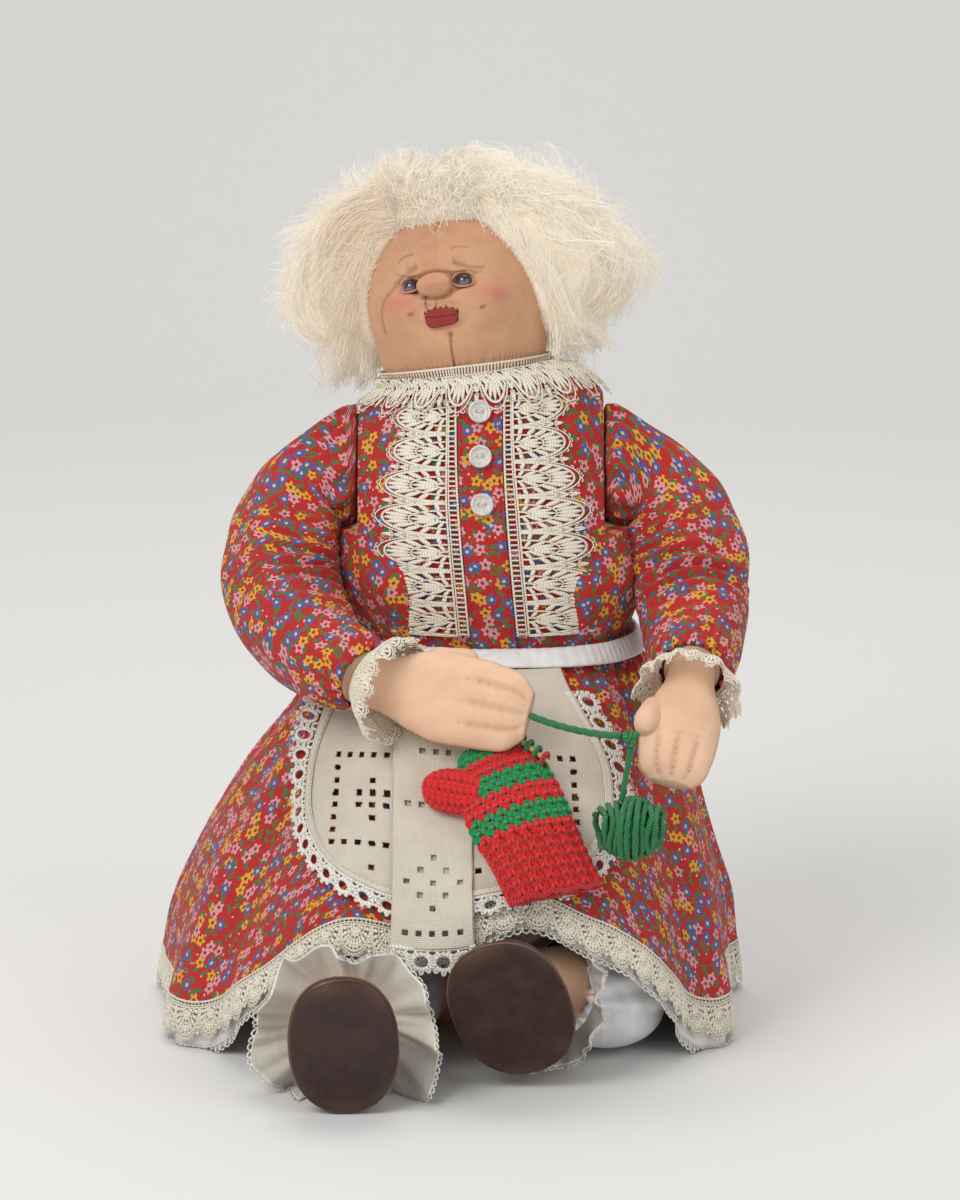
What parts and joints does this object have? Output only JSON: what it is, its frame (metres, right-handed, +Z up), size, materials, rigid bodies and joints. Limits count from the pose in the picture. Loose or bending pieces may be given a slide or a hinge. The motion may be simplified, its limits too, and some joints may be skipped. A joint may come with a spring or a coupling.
{
  "type": "seated cloth doll",
  "caption": "Seated cloth grandmother doll with a stuffed head, fleece wig, print dress, lace apron, soft shoes and knitting in her hands.",
  "frame": {"origin": "middle of the flat underside of the doll's seat, on the surface she sits on", "axes": "+Z up, -Y the way the doll faces, +X to the right of a person who looks at her"},
  "size_m": [0.2399, 0.2378, 0.3374],
  "materials": {
    "muslin": "woven muslin over stuffing",
    "skin_muslin": "peach muslin, stitched fingers",
    "face_cloth": "stretch cloth, needle-sculpted and blushed",
    "calico": "printed ditsy floral cotton",
    "ecru_lace": "cotton bobbin lace",
    "white_lace": "white cotton and gauze edging",
    "linen": "drawn-thread linen",
    "satin": "white satin",
    "fleece": "curly wool fleece",
    "shoe_leather": "soft brown leather",
    "pearl_plastic": "clear pearly shirt button",
    "eye_bead": "glossy painted bead",
    "lip_felt": "red stitched cloth",
    "red_yarn": "knitted wool, red with green bands",
    "green_yarn": "plied wool",
    "birch": "plain birch"
  },
  "bodies": {
    "torso": {"torso": "muslin", "dress_bodice": "calico", "dress_placket": "calico", "button_top": "pearl_plastic", "button_middle": "pearl_plastic", "button_bottom": "pearl_plastic", "left_lace_panel": "ecru_lace", "right_lace_panel": "ecru_lace", "collar_lace": "ecru_lace", "dress_skirt": "calico", "hem_lace": "ecru_lace", "petticoat": "white_lace", "apron": "linen", "apron_lace": "white_lace", "apron_waistband": "linen", "apron_sash": "linen", "sash_lace": "white_lace"},
    "neck": {"neck": "face_cloth"},
    "head": {"head": "face_cloth", "left_eye": "eye_bead", "right_eye": "eye_bead", "lips": "lip_felt", "wig": "fleece"},
    "mitten": {"knitted_mitten": "red_yarn", "knitting_needle": "birch"},
    "yarn_ball": {"yarn_drop": "green_yarn", "yarn_ball": "green_yarn", "yarn_ball_core": "green_yarn"},
    "left_arm": {"left_arm": "muslin", "left_sleeve": "calico", "left_cuff_lace": "ecru_lace", "left_hand": "skin_muslin", "yarn_strand": "green_yarn", "yarn_knot": "green_yarn"},
    "left_leg": {"left_leg": "muslin", "left_bloomer": "satin", "left_ruffle": "white_lace", "left_shoe_upper": "shoe_leather", "left_shoe_sole": "shoe_leather"},
    "right_arm": {"right_arm": "muslin", "right_sleeve": "calico", "right_cuff_lace": "ecru_lace", "right_hand": "skin_muslin"},
    "right_leg": {"right_leg": "muslin", "right_bloomer": "satin", "right_ruffle": "white_lace", "right_shoe_upper": "shoe_leather", "right_shoe_sole": "shoe_leather"}
  },
  "joints": [
    {"name": "neck_nod", "type": "hinge", "parent": "torso", "child": "neck", "pos_m": [-0.014, 0.017, 0.262], "axis": [1, 0, 0], "range_deg": [-8, 8], "stiffness_Nm_per_rad": 0.6, "deforming": ["collar_lace"]},
    {"name": "head_turn", "type": "hinge", "parent": "neck", "child": "head", "pos_m": [-0.014, 0.017, 0.262], "axis": [-0.1181, 0.128, 0.9847], "range_deg": [-20, 20], "stiffness_Nm_per_rad": 0.3},
    {"name": "right_shoulder", "type": "hinge", "parent": "torso", "child": "right_arm", "pos_m": [-0.057, 0.01257, 0.22025], "axis": [-1, 0, 0], "range_deg": [0, 20]},
    {"name": "left_shoulder", "type": "hinge", "parent": "torso", "child": "left_arm", "pos_m": [0.041, 0.01257, 0.22025], "axis": [-1, 0, 0], "range_deg": [0, 20]},
    {"name": "mitten_swing", "type": "hinge", "parent": "right_arm", "child": "mitten", "pos_m": [0.003, -0.088, 0.137], "axis": [1, 0, 0], "range_deg": [0, 20]},
    {"name": "yarn_ball_swing", "type": "hinge", "parent": "left_arm", "child": "yarn_ball", "pos_m": [0.05, -0.119, 0.1385], "axis": [1, 0, 0], "range_deg": [0, 20]},
    {"name": "right_hip", "type": "hinge", "parent": "torso", "child": "right_leg", "pos_m": [-0.03, -0.034, 0.0265], "axis": [0, 0, -1], "range_deg": [0, 10], "deforming": ["dress_skirt", "hem_lace", "petticoat", "apron", "apron_lace", "apron_sash", "sash_lace"]},
    {"name": "left_hip", "type": "hinge", "parent": "torso", "child": "left_leg", "pos_m": [0.03, -0.034, 0.0265], "axis": [0, 0, 1], "range_deg": [0, 10]}
  ],
  "couplings": [
    {"joint": "left_shoulder", "follows": "right_shoulder", "ratio": 1},
    {"joint": "mitten_swing", "follows": "right_shoulder", "ratio": 1},
    {"joint": "yarn_ball_swing", "follows": "right_shoulder", "ratio": 1}
  ]
}
